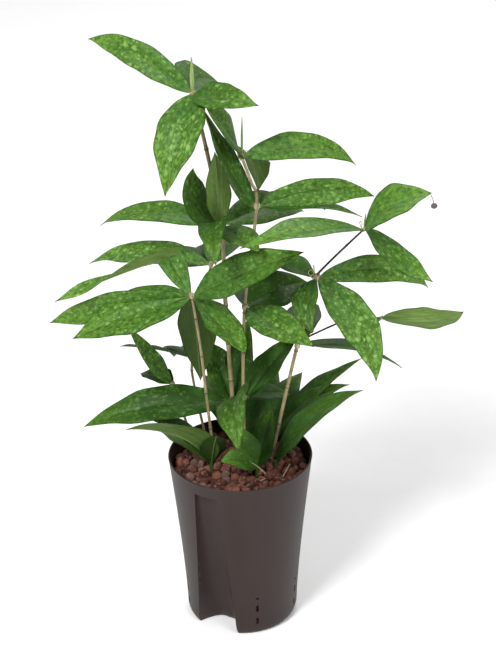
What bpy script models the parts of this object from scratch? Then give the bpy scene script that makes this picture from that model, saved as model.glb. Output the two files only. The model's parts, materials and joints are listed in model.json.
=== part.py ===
"""Potted gold dust dracaena: leafy canes standing in a culture pot of clay granules.

Metres, +Z up. The pot stands on z = 0 with its foot centred on the origin, and the front
of the plant faces -Y. Directions round the plant are degrees from +X towards +Y.
Leaf and cane sizes are written in millimetres and degrees.
"""
import math
import random

import bmesh
import bpy
from mathutils import Vector

MM = 0.001
GAP = 0.3 * MM

# Pot
POT_HEIGHT = 190 * MM
RIM_RADIUS = 75 * MM
LOW_RADIUS = 58.5 * MM
FLAT_RADIUS = 53 * MM
FOOT_CURVE_HEIGHT = 12 * MM
FLARE_POWER = 1.3
POT_WALL = 1.8 * MM
POT_FLOOR = 3 * MM
POT_SIDES = 60
WALL_RINGS = 4
FOOT_RINGS = 3
GAUGE_DIRECTION = 240
GAUGE_TOP = 176 * MM
GAUGE_TOP_SIZE = (26 * MM, 8 * MM)
GAUGE_FOOT_SIZE = (47 * MM, 26 * MM)
SLIT_WIDTH = 3 * MM
SLIT_COLUMNS = 6
SLIT_FIRST = 45
SLIT_STEP = 54
SLIT_SPANS = ((13 * MM, 21 * MM), (29 * MM, 38 * MM), (45 * MM, 48 * MM))

# Granules
FILL_HEIGHT = 174 * MM
PEBBLES = 66
PEBBLE_SIZE = (7.0 * MM, 8.6 * MM)
PEBBLE_SEED = 7

# Canes and leaves
HOLE_DEPTH = 38 * MM
CANE_SIDES = 6
RING_SPACING = 44 * MM
RING_SWELL = 1.25
LEAF_THICKNESS = 0.8 * MM
LEAF_STATIONS = (0.0, 0.08, 0.21, 0.37, 0.54, 0.71, 0.88, 1.0)
LEAF_FOLD = 14
FOLD_SHIFT = 0.8
FOLD_OVERLAP = 3 * MM
PETIOLE_WIDTH = 2.8
TIP_WIDTH = 0.9
COLLAR_HEIGHT = 5 * MM
COLLAR_WALL = 1.9 * MM
COLLAR_SIDES = 9
BUD_RADIUS = 1.1 * MM

# Each cane: radius at the foot and at the tip, then its line from the granules upwards
CANES = {
    "cane_tall": (2.5, 1.9, [
        (-2, 20, 175), (-7, 17, 243), (-12, 13, 350), (-15, 10, 447), (-26, 5, 520), (-39, 0, 588),
    ]),
    "cane_front": (2.1, 1.5, [
        (5, -10, 175), (4, -8, 260), (7, -5, 363), (20, 0, 471), (15, 0, 497), (7, 0, 521),
    ]),
    "cane_left": (1.7, 1.4, [
        (-26, 0, 175), (-32, -8, 245), (-38, -12, 320), (-45, -14, 378),
    ]),
    "cane_back_left": (1.5, 1.2, [
        (-34, 38, 175), (-47, 40, 250), (-48, 38, 283), (-38, 34, 340), (-27, 30, 391),
    ]),
    "cane_short": (1.5, 1.3, [
        (-44, 28, 175), (-58, 34, 215), (-68, 38, 249),
    ]),
    "cane_right": (2.2, 1.6, [
        (31, 3, 175), (44, 2, 240), (60, 0, 317), (71, -5, 355), (78, -10, 394),
    ]),
    "branch_upper": (1.2, 1.0, [
        (79.5, -11, 402), (92, -13, 417), (108, -17, 436), (122, -20, 452),
    ]),
    "branch_side": (1.0, 0.9, [
        (63.6, 0.6, 321.8), (94, 12, 331), (120, 28, 333), (144, 40, 325),
    ]),
}
BROWN_CANES = ("branch_upper", "branch_side")

# Each whorl: its cane, the point of the cane's line that it grows from, then its leaves as
# (turn, rise, length, droop, width, roll, swing): the way the leaf leaves the cane, its angle
# above level, its length, how far it bends down by the tip, its width, its tilt about its own
# midrib, and how far it bends sideways by the tip. A leaf that is folded over goes on with the
# share of its length at the fold, then turn, rise, droop, roll and twist of the rest of it.
WHORLS = {
    "whorl_tall_top": ("cane_tall", 5, [
        (163, 39, 132, 55, 28, -65, -34),
        (259, -28, 107, 50, 54, 11, -34),
        (301, 15, 84, 20, 32, 36, 34),
        (89, 3, 106, 47, 56, 25, -34),
    ]),
    "whorl_tall_middle": ("cane_tall", 3, [
        (170, 14, 146, 56, 32, -20, -36),
        (178, 31, 71, -85, 40, -18, -34),
        (252, 47, 90, 115, 31, 17, 31),
        (264, 76, 92, 0, 26, 20, -10),
        (295, 5, 70, 10, 38, 0, 10),
        (39, 6, 137, 45, 42, 28, 23),
    ]),
    "whorl_tall_low": ("cane_tall", 1, [
        (125, 64, 64, 20, 42, 0, 0),
        (192, 8, 158, 40, 46, -24, -24),
        (65, 68, 85, 10, 32, 0, 0),
    ]),
    "whorl_front_top": ("cane_front", 5, [
        (5, 16, 132, 65, 31, 41, 34),
        (75, -10, 85, 88, 39, 19, -9),
        (227, 64, 74, 12, 51, -32, -34),
    ]),
    "whorl_front_upper": ("cane_front", 3, [
        (-8, 26, 121, 56, 31, 85, 34),
        (-2, 4, 112, 38, 32, -2, 34),
        (189, 60, 124, -12, 37, -41, 30),
        (42, 0, 100, 45, 38, 0, 0),
    ]),
    "whorl_front_middle": ("cane_front", 2, [
        (305, 2, 100, 9, 38, 24, 10),
        (45, 10, 90, 30, 46, 30, 0),
        (85, 10, 110, 50, 40, 0, 0),
    ]),
    "whorl_front_low": ("cane_front", 1, [
        (251, 48, 112, 115, 45, 43, 34),
        (30, 48, 84, 15, 40, 0, 0),
        (34, 0, 58, 35, 32, 10, 0),
    ]),
    "whorl_left_top": ("cane_left", 3, [
        (180, -7, 163, 24, 34, -85, -34),
        (186, -14, 126, 12, 60, -20, -6),
        (138, 50, 180, 0, 36, -20, 0, 0.25, 188, -14, 10, 46, -140),
        (338, 36, 132, 14, 42, 45, 6),
        (336, -43, 81, -28, 50, -10, -34),
        (80, -70, 118, 10, 40, 0, 0),
    ]),
    "whorl_back_left_top": ("cane_back_left", 4, [
        (158, 6, 158, 42, 36, -20, -20),
        (105, 5, 110, 60, 42, 0, 0),
        (70, 15, 100, 60, 42, 0, 0),
    ]),
    "whorl_back_left_middle": ("cane_back_left", 2, [
        (148, 2, 90, 20, 22, 31, 0),
        (105, -5, 95, 50, 40, 0, 0),
    ]),
    "whorl_short_top": ("cane_short", 2, [
        (186, 58, 89, -3, 20, -65, 34),
        (141, 15, 45, 40, 30, 0, 0),
    ]),
    "whorl_right_middle": ("cane_right", 2, [
        (0, 0, 116, 44, 32, -6, 20),
        (80, 25, 85, 50, 38, 0, 0),
    ]),
    "whorl_right_top": ("cane_right", 4, [
        (13, 9, 149, 61, 29, 62, 34),
        (334, -37, 130, 53, 39, 66, 34),
        (232, -39, 66, 100, 43, 23, 7),
        (132, 5, 112, 44, 30, -7, -34),
    ]),
    "whorl_branch_upper": ("branch_upper", 3, [
        (225, 24, 144, 39, 48, 0, -29),
        (-20, 58, 79, 60, 55, 14, 34),
        (355, -50, 86, -40, 38, 8, -34),
    ]),
    "whorl_branch_side": ("branch_side", 3, [
        (-15, 0, 100, -40, 37, -60, -34),
        (120, -40, 44, 20, 26, 0, 0),
    ]),
}

# Rolled new leaves that stand on a whorl: (turn, rise, length)
BUDS = {
    "whorl_tall_top": (95, 80, 34),
    "whorl_front_top": (80, 85, 40),
    "whorl_branch_upper": (60, 80, 16),
}

# Each basal shoot: where its stalk stands in the granules, then its leaves as above
SHOOTS = {
    "shoot_left": ((-30, -6), [
        (211, 63, 110, 72, 58, 41, -34),
        (170, 60, 100, 60, 32, 0, 0),
        (285, 72, 52, 20, 30, 0, 0),
    ]),
    "shoot_front": ((17, -18), [
        (206, 56, 48, 70, 26, -45, 0),
        (45, 74, 66, 10, 36, 0, 0),
        (165, 72, 52, 20, 28, -50, 0),
    ]),
    "shoot_right": ((36, -10), [
        (20, 59, 122, 49, 41, -2, -8),
    ]),
    "shoot_right_back": ((26, 24), [
        (15, 60, 115, 60, 32, 10, 0),
        (25, 50, 140, 35, 30, 0, 0),
        (60, 55, 100, 55, 36, 0, 0),
    ]),
    "shoot_back": ((4, 42), [
        (120, 40, 92, 35, 46, 0, 0),
        (60, 45, 90, 35, 42, 0, 0),
    ]),
}
SHOOT_RADIUS = 2.6 * MM
SHOOT_TOP = 186 * MM


# Scene and materials

def clear_scene():
    for thing in list(bpy.data.objects):
        bpy.data.objects.remove(thing, do_unlink=True)


def make_material(name, colour, roughness, metallic=0.0):
    material = bpy.data.materials.new(name)
    material.use_nodes = True
    shader = material.node_tree.nodes["Principled BSDF"]
    shader.inputs["Base Color"].default_value = (*colour, 1.0)
    shader.inputs["Roughness"].default_value = roughness
    shader.inputs["Metallic"].default_value = metallic
    return material


# Meshes and Booleans

def add_object(name, points, faces, material=None):
    mesh = bpy.data.meshes.new(name)
    mesh.from_pydata([tuple(point) for point in points], [], faces)
    part = bpy.data.objects.new(name, mesh)
    bpy.context.scene.collection.objects.link(part)
    face_outwards(mesh)
    if material:
        mesh.materials.append(material)
    return part


def face_outwards(mesh):
    shell = bmesh.new()
    shell.from_mesh(mesh)
    bmesh.ops.recalc_face_normals(shell, faces=shell.faces)
    if shell.calc_volume(signed=True) < 0:
        bmesh.ops.reverse_faces(shell, faces=shell.faces)
    shell.to_mesh(mesh)
    shell.free()


def apply_boolean(part, others, operation, solver="EXACT"):
    """Join others to part, or cut them from it, and remove them."""
    group = bpy.data.collections.new(part.name + "_tools")
    bpy.context.scene.collection.children.link(group)
    for other in others:
        bpy.context.scene.collection.objects.unlink(other)
        group.objects.link(other)
    change = part.modifiers.new(operation.lower(), "BOOLEAN")
    change.operation = operation
    change.operand_type = "COLLECTION"
    change.collection = group
    change.solver = solver
    graph = bpy.context.evaluated_depsgraph_get()
    mesh = bpy.data.meshes.new_from_object(part.evaluated_get(graph))
    part.modifiers.clear()
    part.data = mesh
    for other in others:
        bpy.data.objects.remove(other, do_unlink=True)
    bpy.data.collections.remove(group)


def triangulate(part):
    shell = bmesh.new()
    shell.from_mesh(part.data)
    bmesh.ops.triangulate(shell, faces=shell.faces)
    shell.to_mesh(part.data)
    shell.free()


def shade(part, angle=40):
    part.data.shade_smooth()
    part.data.set_sharp_from_angle(angle=math.radians(angle))


def heading(turn, rise=0.0):
    turn, rise = math.radians(turn), math.radians(rise)
    return Vector((math.cos(rise) * math.cos(turn), math.cos(rise) * math.sin(turn), math.sin(rise)))


def smooth_line(points, steps=4):
    """Points on a smooth curve through the given points."""
    line = []
    last = len(points) - 1
    for i in range(last):
        before, start = points[max(i - 1, 0)], points[i]
        end, after = points[i + 1], points[min(i + 2, last)]
        for step in range(steps):
            t = step / steps
            line.append(0.5 * (2 * start + (end - before) * t
                               + (2 * before - 5 * start + 4 * end - after) * t ** 2
                               + (3 * start - before - 3 * end + after) * t ** 3))
    line.append(points[last].copy())
    return line


def tube(name, line, radii, sides=CANE_SIDES, material=None):
    """A closed round bar along a line, with its own radius at each point."""
    points, faces = [], []
    across = Vector((1, 0, 0))
    for i, centre in enumerate(line):
        along = (line[min(i + 1, len(line) - 1)] - line[max(i - 1, 0)]).normalized()
        across = (across - along * across.dot(along)).normalized()
        other = along.cross(across)
        for side in range(sides):
            angle = math.tau * side / sides
            points.append(centre + radii[i] * (across * math.cos(angle) + other * math.sin(angle)))
    for i in range(len(line) - 1):
        for side in range(sides):
            a, b = i * sides + side, i * sides + (side + 1) % sides
            faces.append((a, b, b + sides, a + sides))
    faces.append(tuple(range(sides))[::-1])
    faces.append(tuple(range(len(points) - sides, len(points))))
    return add_object(name, points, faces, material)


def turned(name, profile, sides=POT_SIDES, material=None):
    """A solid turned about the Z axis from (radius, height) points, from the foot upwards."""
    line = [Vector((0, 0, height)) for radius, height in profile]
    points, faces = [], []
    for (radius, height), centre in zip(profile, line):
        for side in range(sides):
            points.append(centre + radius * heading(360 * side / sides))
    for i in range(len(profile) - 1):
        for side in range(sides):
            a, b = i * sides + side, i * sides + (side + 1) % sides
            faces.append((a, b, b + sides, a + sides))
    faces.append(tuple(range(sides))[::-1])
    faces.append(tuple(range(len(points) - sides, len(points))))
    return add_object(name, points, faces, material)


# Pot

def wall_radius(height):
    """Outer radius of the pot at a height above its foot curve."""
    share = (height - FOOT_CURVE_HEIGHT) / (POT_HEIGHT - FOOT_CURVE_HEIGHT)
    return LOW_RADIUS + (RIM_RADIUS - LOW_RADIUS) * share ** FLARE_POWER


def pot_profile(inset, bottom, top):
    """The pot's outline moved inwards, from a flat bottom to a height."""
    profile = []
    for i in range(FOOT_RINGS + 1):
        angle = math.radians(90 * i / FOOT_RINGS)
        radius = FLAT_RADIUS + (LOW_RADIUS - FLAT_RADIUS) * math.sin(angle)
        height = bottom + (FOOT_CURVE_HEIGHT - bottom) * (1 - math.cos(angle))
        profile.append((radius - inset, height))
    for i in range(1, WALL_RINGS + 1):
        height = FOOT_CURVE_HEIGHT + (top - FOOT_CURVE_HEIGHT) * i / WALL_RINGS
        profile.append((wall_radius(height) - inset, height))
    return profile


def gauge_recess(name, grow):
    """The tapered hollow up the side of the pot that takes a water gauge, grown by a wall."""
    out = heading(GAUGE_DIRECTION)
    side = heading(GAUGE_DIRECTION + 90)
    below = -10 * MM
    arch = 10
    points, faces = [], []
    for height in (below, GAUGE_TOP + grow):
        share = height / GAUGE_TOP
        half = (GAUGE_FOOT_SIZE[0] + (GAUGE_TOP_SIZE[0] - GAUGE_FOOT_SIZE[0]) * share) / 2 + grow
        depth = GAUGE_FOOT_SIZE[1] + (GAUGE_TOP_SIZE[1] - GAUGE_FOOT_SIZE[1]) * share + grow
        face = wall_radius(max(height, FOOT_CURVE_HEIGHT))
        ends = [(-half, 20 * MM)]
        for i in range(arch + 1):
            angle = math.pi * i / arch
            ends.append((-half * math.copysign(abs(math.cos(angle)) ** 0.55, math.cos(angle)),
                         -depth * math.sin(angle) ** 0.7))
        ends.append((half, 20 * MM))
        for across, inwards in ends:
            points.append(out * (face + inwards) + side * across + Vector((0, 0, height)))
    count = len(points) // 2
    for i in range(count):
        j = (i + 1) % count
        faces.append((i, j, j + count, i + count))
    faces.append(tuple(range(count))[::-1])
    faces.append(tuple(range(count, 2 * count)))
    return add_object(name, points, faces)


def slit(name, turn, low, high):
    """A short upright water slit through the wall."""
    out, side, up = heading(turn), heading(turn + 90), Vector((0, 0, 1))
    half = SLIT_WIDTH / 2
    points = []
    for radius in (LOW_RADIUS - 6 * MM, LOW_RADIUS + 8 * MM):
        for across, height in ((-half, low), (half, low), (half, high), (-half, high)):
            points.append(out * radius + side * across + up * height)
    faces = [(3, 2, 1, 0), (4, 5, 6, 7), (0, 1, 5, 4), (1, 2, 6, 5), (2, 3, 7, 6), (3, 0, 4, 7)]
    return add_object(name, points, faces)


def culture_pot(material):
    pot = turned("culture_pot", pot_profile(0, 0, POT_HEIGHT), material=material)
    hollow = turned("hollow", pot_profile(POT_WALL, POT_FLOOR, POT_HEIGHT + 5 * MM))
    apply_boolean(hollow, [gauge_recess("liner", POT_WALL)], "DIFFERENCE")
    cuts = [hollow, gauge_recess("recess", 0)]
    for column in range(SLIT_COLUMNS):
        turn = GAUGE_DIRECTION + SLIT_FIRST + SLIT_STEP * column
        for low, high in SLIT_SPANS:
            cuts.append(slit("slit", turn, low, high))
    apply_boolean(pot, cuts, "DIFFERENCE")
    triangulate(pot)
    shade(pot)
    return pot


# Granules

def pebble(name, centre, size, draw):
    """One rough clay granule."""
    shell = bmesh.new()
    bmesh.ops.create_icosphere(shell, subdivisions=1, radius=size)
    turn = heading(draw.uniform(0, 360), draw.uniform(-60, 60))
    for point in shell.verts:
        point.co *= draw.uniform(0.88, 1.12)
        point.co -= turn * point.co.dot(turn) * 0.2
        point.co += centre
    mesh = bpy.data.meshes.new(name)
    shell.to_mesh(mesh)
    shell.free()
    part = bpy.data.objects.new(name, mesh)
    bpy.context.scene.collection.objects.link(part)
    return part


def clay_granules(material, holes):
    inset = POT_WALL + GAP
    profile = pot_profile(inset, POT_FLOOR + GAP, FILL_HEIGHT)
    fill = turned("clay_granules", profile, POT_SIDES // 2, material)
    draw = random.Random(PEBBLE_SEED)
    golden_turn = 137.508
    edge = wall_radius(FILL_HEIGHT) - inset
    pebbles = []
    for i in range(PEBBLES):
        size = draw.uniform(*PEBBLE_SIZE)
        reach = (edge - size * 1.12) * math.sqrt((i + 0.5) / PEBBLES)
        centre = heading(golden_turn * i) * reach
        centre.z = FILL_HEIGHT + draw.uniform(-2.5, 1.0) * MM
        pebbles.append(pebble("pebble", centre, size, draw))
    apply_boolean(fill, pebbles, "UNION", "MANIFOLD")
    apply_boolean(fill, [gauge_recess("liner", inset)] + holes, "DIFFERENCE", "MANIFOLD")
    triangulate(fill)
    shade(fill, 20)
    return fill


# Canes

def cane_points(name):
    """The cane's own line in metres, with the buried stretch first on canes that are rooted."""
    points = [Vector(point) * MM for point in CANES[name][2]]
    if name not in BROWN_CANES:
        along = (points[1] - points[0]).normalized()
        points.insert(0, points[0] - along * HOLE_DEPTH)
    return points


def cane_radius(name, share):
    foot, tip = CANES[name][0] * MM, CANES[name][1] * MM
    return foot + (tip - foot) * share


def cane(name, material):
    """A cane that swells into a ring at each of its joints."""
    line = smooth_line(cane_points(name), 5)
    lengths = [0.0]
    for before, after in zip(line, line[1:]):
        lengths.append(lengths[-1] + (after - before).length)
    rings = int(lengths[-1] / RING_SPACING)
    stops = [(i * RING_SPACING + offset, swell) for i in range(1, rings + 1)
             for offset, swell in ((-1.5 * MM, 1.0), (0.0, RING_SWELL), (1.5 * MM, 1.0))]
    rooted = 0 if name in BROWN_CANES else HOLE_DEPTH + 12 * MM
    stops = [stop for stop in stops if rooted < stop[0] < lengths[-1] - 4 * MM]
    bends = set(lengths[::2] + lengths[-1:])
    stops = sorted(stops + [(length, 1.0) for length in bends
                            if all(abs(length - stop[0]) > 2.5 * MM for stop in stops)])
    places, radii = [], []
    for distance, swell in stops:
        i = max(k for k in range(len(lengths) - 1) if lengths[k] <= distance)
        share = (distance - lengths[i]) / (lengths[i + 1] - lengths[i])
        places.append(line[i].lerp(line[i + 1], share))
        radii.append(cane_radius(name, distance / lengths[-1]) * swell)
    part = tube(name, places, radii, material=material)
    shade(part, 50)
    return part


def root_hole(foot, along, radius):
    """The plain blind hole in the granules that a stalk stands in."""
    bottom = foot - along * (HOLE_DEPTH + GAP)
    top = foot + along * 25 * MM
    return tube("hole", [bottom, top], [radius + GAP + 0.2 * MM] * 2, 12)


# Leaves

def blade_width(share, width):
    """Width of a leaf at a share of its length: a short stalk, a broad middle, a drawn-out tip."""
    rise, fall = 0.80, 1.10
    peak = (rise / (rise + fall)) ** rise * (fall / (rise + fall)) ** fall
    broad = width * share ** rise * (1 - share) ** fall / peak
    stalk = PETIOLE_WIDTH * (1 - share) + TIP_WIDTH * share
    return max(broad, stalk) * MM


def blade(base, values, first=0.0, last=1.0, twist=0.0):
    """An arched blade with two halves folded up from the midrib, from one share of a leaf to another."""
    turn, rise, length, droop, width, roll, swing = values
    steps = 24
    place = base.copy()
    spine = [(place.copy(), heading(turn, rise), turn)]
    for i in range(steps):
        share = (i + 0.5) / steps
        course = turn + swing * share
        way = heading(course, rise - droop * share ** 1.2)
        place += way * length * (last - first) * MM / steps
        spine.append((place.copy(), way, course))
    fold = math.radians(LEAF_FOLD)
    points, faces = [], []
    for share in LEAF_STATIONS:
        tilt = math.radians(roll + twist * share ** 3)
        centre, way, course = spine[round(share * steps)]
        flat = heading(course + 90)
        upright = way.cross(flat)
        across = flat * math.cos(tilt) + upright * math.sin(tilt)
        above = upright * math.cos(tilt) - flat * math.sin(tilt)
        half = blade_width(first + (last - first) * share, width) / 2
        lift = half * math.sin(fold)
        for level in (LEAF_THICKNESS / 2, -LEAF_THICKNESS / 2):
            points.append(centre + across * half * math.cos(fold) + above * (lift + level))
            points.append(centre + above * level)
            points.append(centre - across * half * math.cos(fold) + above * (lift + level))
    sections = len(LEAF_STATIONS) - 1
    for i in range(sections):
        a, b = 6 * i, 6 * (i + 1)
        faces += [(a, a + 1, b), (a + 1, b + 1, b), (a + 1, a + 2, b + 1), (a + 2, b + 2, b + 1)]
        faces += [(a + 3, b + 3, a + 4), (a + 4, b + 3, b + 4)]
        faces += [(a + 4, b + 4, a + 5), (a + 5, b + 4, b + 5)]
        faces += [(a, b, a + 3), (b, b + 3, a + 3), (a + 2, a + 5, b + 2), (b + 2, a + 5, b + 5)]
    end = 6 * sections
    faces += [(0, 3, 1), (1, 3, 4), (1, 4, 2), (2, 4, 5)]
    faces += [(end, end + 1, end + 3), (end + 1, end + 4, end + 3)]
    faces += [(end + 1, end + 2, end + 4), (end + 2, end + 5, end + 4)]
    return add_object("blade", points, faces)


def leaf(base, values):
    """A leaf as one blade, or as two that meet at the fold where it is folded over."""
    values, rest = values[:7], values[7:]
    if not rest:
        return [blade(base, values)]
    share, turn, rise, droop, roll, twist = rest
    near = blade(base, values, 0.0, share)
    middle, corner = (near.data.vertices[-5].co, near.data.vertices[-4].co)
    start = middle.lerp(corner, FOLD_SHIFT) - heading(*values[:2]) * FOLD_OVERLAP
    far = blade(start, (turn, rise, values[2], droop, values[4], roll, 0), share, 1.0, twist)
    return [near, far]


def bud(name, base, values):
    """A rolled new leaf, thickest a third of the way up and pointed at its tip."""
    turn, rise, length = values
    way = heading(turn, rise)
    line = [base + way * length * MM * share for share in (0.0, 0.35, 0.7, 1.0)]
    return tube(name, line, [BUD_RADIUS * scale for scale in (0.9, 1.0, 0.75, 0.35)], 6)


def whorl(name, material):
    """Leaves that grow from one collar, a ring round the cane or a cap on its tip."""
    cane_name, index, leaves = WHORLS[name]
    points = cane_points(cane_name)
    if cane_name not in BROWN_CANES:
        index += 1
    centre = points[index]
    at_tip = index == len(points) - 1
    along = (points[min(index + 1, len(points) - 1)] - points[index - 1]).normalized()
    stem = cane_radius(cane_name, index / (len(points) - 1)) * RING_SWELL
    outer = stem + GAP + COLLAR_WALL
    half = COLLAR_HEIGHT / 2
    if at_tip:
        start = centre + along * GAP
        line = [start + along * COLLAR_HEIGHT * share for share in (0.0, 0.5, 1.0, 1.4)]
        collar = tube(name, line, [outer * scale for scale in (0.8, 1.0, 0.8, 0.4)], COLLAR_SIDES, material)
        root, reach = start + along * half, 0.4 * outer
    else:
        line = [centre - along * half, centre, centre + along * half]
        collar = tube(name, line, [outer * scale for scale in (0.9, 1.0, 0.9)], COLLAR_SIDES, material)
        root, reach = centre, stem + GAP + COLLAR_WALL * 0.45
    growths = []
    for values in leaves:
        growths += leaf(root + heading(values[0]) * reach, values)
    if name in BUDS:
        growths.append(bud("bud", root + heading(BUDS[name][0]) * reach, BUDS[name]))
    if not at_tip:
        ends = [centre - along * half * 3, centre + along * half * 3]
        bore = tube("bore", ends, [stem + GAP] * 2, COLLAR_SIDES)
        apply_boolean(collar, [bore], "DIFFERENCE")
    apply_boolean(collar, growths, "UNION")
    triangulate(collar)
    shade(collar)
    return collar


def shoot(name, material):
    """Broad leaves on a short green stalk that stands in the granules."""
    foot = Vector((SHOOTS[name][0][0] * MM, SHOOTS[name][0][1] * MM, FILL_HEIGHT))
    top = Vector((foot.x, foot.y, SHOOT_TOP))
    line = [foot - Vector((0, 0, HOLE_DEPTH)), foot, top]
    stalk = tube(name, line, [SHOOT_RADIUS, SHOOT_RADIUS, SHOOT_RADIUS * 0.8], 10, material)
    root = top - Vector((0, 0, 3 * MM))
    growths = []
    for values in SHOOTS[name][1]:
        growths += leaf(root + heading(values[0]) * SHOOT_RADIUS * 0.3, values)
    apply_boolean(stalk, growths, "UNION")
    triangulate(stalk)
    shade(stalk)
    return stalk


def build():
    clear_scene()
    plastic = make_material("brown_grey_plastic", (0.075, 0.058, 0.052), 0.42)
    clay = make_material("baked_clay", (0.17, 0.065, 0.045), 0.9)
    tan = make_material("tan_cane", (0.45, 0.36, 0.20), 0.6)
    brown = make_material("brown_branch", (0.06, 0.04, 0.03), 0.6)
    green = make_material("leaf_green", (0.09, 0.26, 0.04), 0.35)

    culture_pot(plastic)
    holes = []
    for name in CANES:
        if name in BROWN_CANES:
            continue
        points = cane_points(name)
        holes.append(root_hole(points[1], (points[2] - points[1]).normalized(), CANES[name][0] * MM))
    for name in SHOOTS:
        foot = Vector((SHOOTS[name][0][0] * MM, SHOOTS[name][0][1] * MM, FILL_HEIGHT))
        holes.append(root_hole(foot, Vector((0, 0, 1)), SHOOT_RADIUS))
    clay_granules(clay, holes)
    for name in CANES:
        cane(name, brown if name in BROWN_CANES else tan)
    for name in WHORLS:
        whorl(name, green)
    for name in SHOOTS:
        shoot(name, green)


build()
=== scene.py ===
"""The look of a potted gold dust dracaena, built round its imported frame.

Metres, +Z up; the front of the plant faces -Y. Directions round the plant are degrees from +X
towards +Y. Leaf and cane sizes are written in millimetres and degrees, as in the frame.
"""
import json
from math import acos, asin, cos, degrees, exp, pi, radians, sin, sqrt, tau
from random import Random

import bmesh
import bpy
from mathutils import Matrix, Vector, noise

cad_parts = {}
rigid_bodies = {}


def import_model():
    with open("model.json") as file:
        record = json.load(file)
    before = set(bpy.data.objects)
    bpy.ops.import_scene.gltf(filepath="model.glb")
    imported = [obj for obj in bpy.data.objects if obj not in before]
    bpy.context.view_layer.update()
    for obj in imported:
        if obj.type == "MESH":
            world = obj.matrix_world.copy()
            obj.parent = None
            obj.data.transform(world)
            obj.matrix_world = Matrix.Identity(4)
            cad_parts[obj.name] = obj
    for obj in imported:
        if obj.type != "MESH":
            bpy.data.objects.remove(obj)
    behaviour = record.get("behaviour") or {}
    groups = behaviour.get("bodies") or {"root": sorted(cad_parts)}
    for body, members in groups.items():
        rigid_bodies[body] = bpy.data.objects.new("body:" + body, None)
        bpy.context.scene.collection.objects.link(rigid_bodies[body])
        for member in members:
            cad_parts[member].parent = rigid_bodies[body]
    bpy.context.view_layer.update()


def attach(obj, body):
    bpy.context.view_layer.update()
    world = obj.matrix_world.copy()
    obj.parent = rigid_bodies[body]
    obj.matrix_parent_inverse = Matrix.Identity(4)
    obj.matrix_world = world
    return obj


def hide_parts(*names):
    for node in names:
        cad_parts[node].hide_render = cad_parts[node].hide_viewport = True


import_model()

MM = 0.001
CM = 0.01

# Pot
POT_HEIGHT = 190
RIM_RADIUS = 75
LOW_RADIUS = 58.5
FLAT_RADIUS = 53
FOOT_CURVE_HEIGHT = 12
FLARE_POWER = 1.3
POT_WALL = 1.8
POT_FLOOR = 3
GAUGE_DIRECTION = 240
GAUGE_TOP = 176
GAUGE_TOP_SIZE = (26, 8)
GAUGE_FOOT_SIZE = (47, 26)
SLIT_WIDTH = 3
SLIT_COLUMNS = 6
SLIT_FIRST = 45
SLIT_STEP = 54
SLIT_SPANS = ((13, 21), (29, 38), (45, 48))
SLIT_CUT = (-7, 9)
POT_SIDES = 150
POT_CREASE = 32

# Heights of the pot's rings; the rounded lip has (height, how far inside the outer wall)
FOOT_LEVELS = (0.0, 0.35, 1.0, 2.2, 4.0, 6.5, 9.0, 12.0)
WALL_LEVELS = 24
LEDGE_LEVELS = (174.8, 175.2, 175.5, 175.8, 176.05, 176.3, 176.8, 178, 181, 184, 186.5, 188.2)
LIP = ((189.0, -0.15), (189.6, 0.1), (189.95, 0.55), (190.0, 1.0), (189.8, 1.45), (189.3, 1.75))
INNER_LEVELS = (5.0, 3.6)

# Shares of the gauge hollow's half width, closer together at its steep sides
GAUGE_SHARES = (0.0, 0.2, 0.4, 0.58, 0.72, 0.82, 0.89, 0.94, 0.97, 0.985, 0.994, 0.999, 1.0)

# Granules
FILL_HEIGHT = 174
GRANULE_SIZE = (4.4, 6.9)
GRANULE_SPACING = 9.6
GRANULE_CREASE = 80
GRANULE_LUMPS = ((1.3, 0.20), (2.9, 0.10), (6.5, 0.05))
GRANULE_PRESS = (0.08, 0.32)
GRANULE_JITTER = 1.5
GRANULE_LEVELS = (-3.0, 4.0)
GRANULE_GAP = 0.6
EDGE_INSET = 5.2
BED_GAP = 0.4

# The bed under the granules, as (height, share of the wall's radius)
GRANULE_BED = (
    (4, 0.02), (4, 1.0), (40, 1.0), (90, 1.0), (140, 1.0), (FILL_HEIGHT - 9, 1.0), (FILL_HEIGHT - 8, 0.6),
    (FILL_HEIGHT - 7.5, 0.02),
)

# Canes
BURIED = 38
RING_SPACING = 44
RING_SWELL = 1.25
RING_WIDTH = 0.9
RING_OFFSETS = (-2.4, -1.4, -0.8, -0.3, 0.0, 0.3, 0.8, 1.6, 2.6)
CANE_BOW = 0.03
CANE_STATIONS = 70
STATION_GAP = 0.15
CANE_SIDES = 20

# Leaves
LEAF_ROWS = 30
LEAF_COLUMNS = (-1.0, -0.9, -0.7, -0.45, -0.2, -0.07, 0.0, 0.07, 0.2, 0.45, 0.7, 0.9, 1.0)
LEAF_FOLD = 14
LEAF_THICKNESS = 0.6
LEAF_CREASE = 50
SPINE_STEPS = 60
DROOP_POWER = 1.2
PILLOW = 0.16
EDGE_DROP = 0.05
EDGE_THINNING = 0.55
MIDRIB_DEPTH = 0.35
MIDRIB_WIDTH = 0.06
RIB_HEIGHT = 0.5
RIB_WIDTH = 0.08
WAVE_COUNT = (1.6, 2.4)
WAVE_SIZE = (0.5, 1.1)
WAVE_POWER = 2.5
RIPPLE = 0.035
RIPPLE_PACE = 1.7
TONE_SPREAD = 0.04
FOLD_SHIFT = 0.8
FOLD_OVERLAP = 3
PETIOLE_WIDTH = 2.8
TIP_WIDTH = 0.9
COLLAR_HEIGHT = 5
COLLAR_WALL = 1.9
COLLAR_PLAY = 0.3
SHEATH_LENGTH = 5
SHEATH_SINK = 0.35
CURL_RADIUS = 0.55
STALK_RADIUS = 0.9
THREAD_RADIUS = 0.35
FLOWER_HANG = (3.0, 0, -9.0)
FLOWER_LENGTH = 5.6
FLOWER_RADIUS = 2.8

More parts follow.
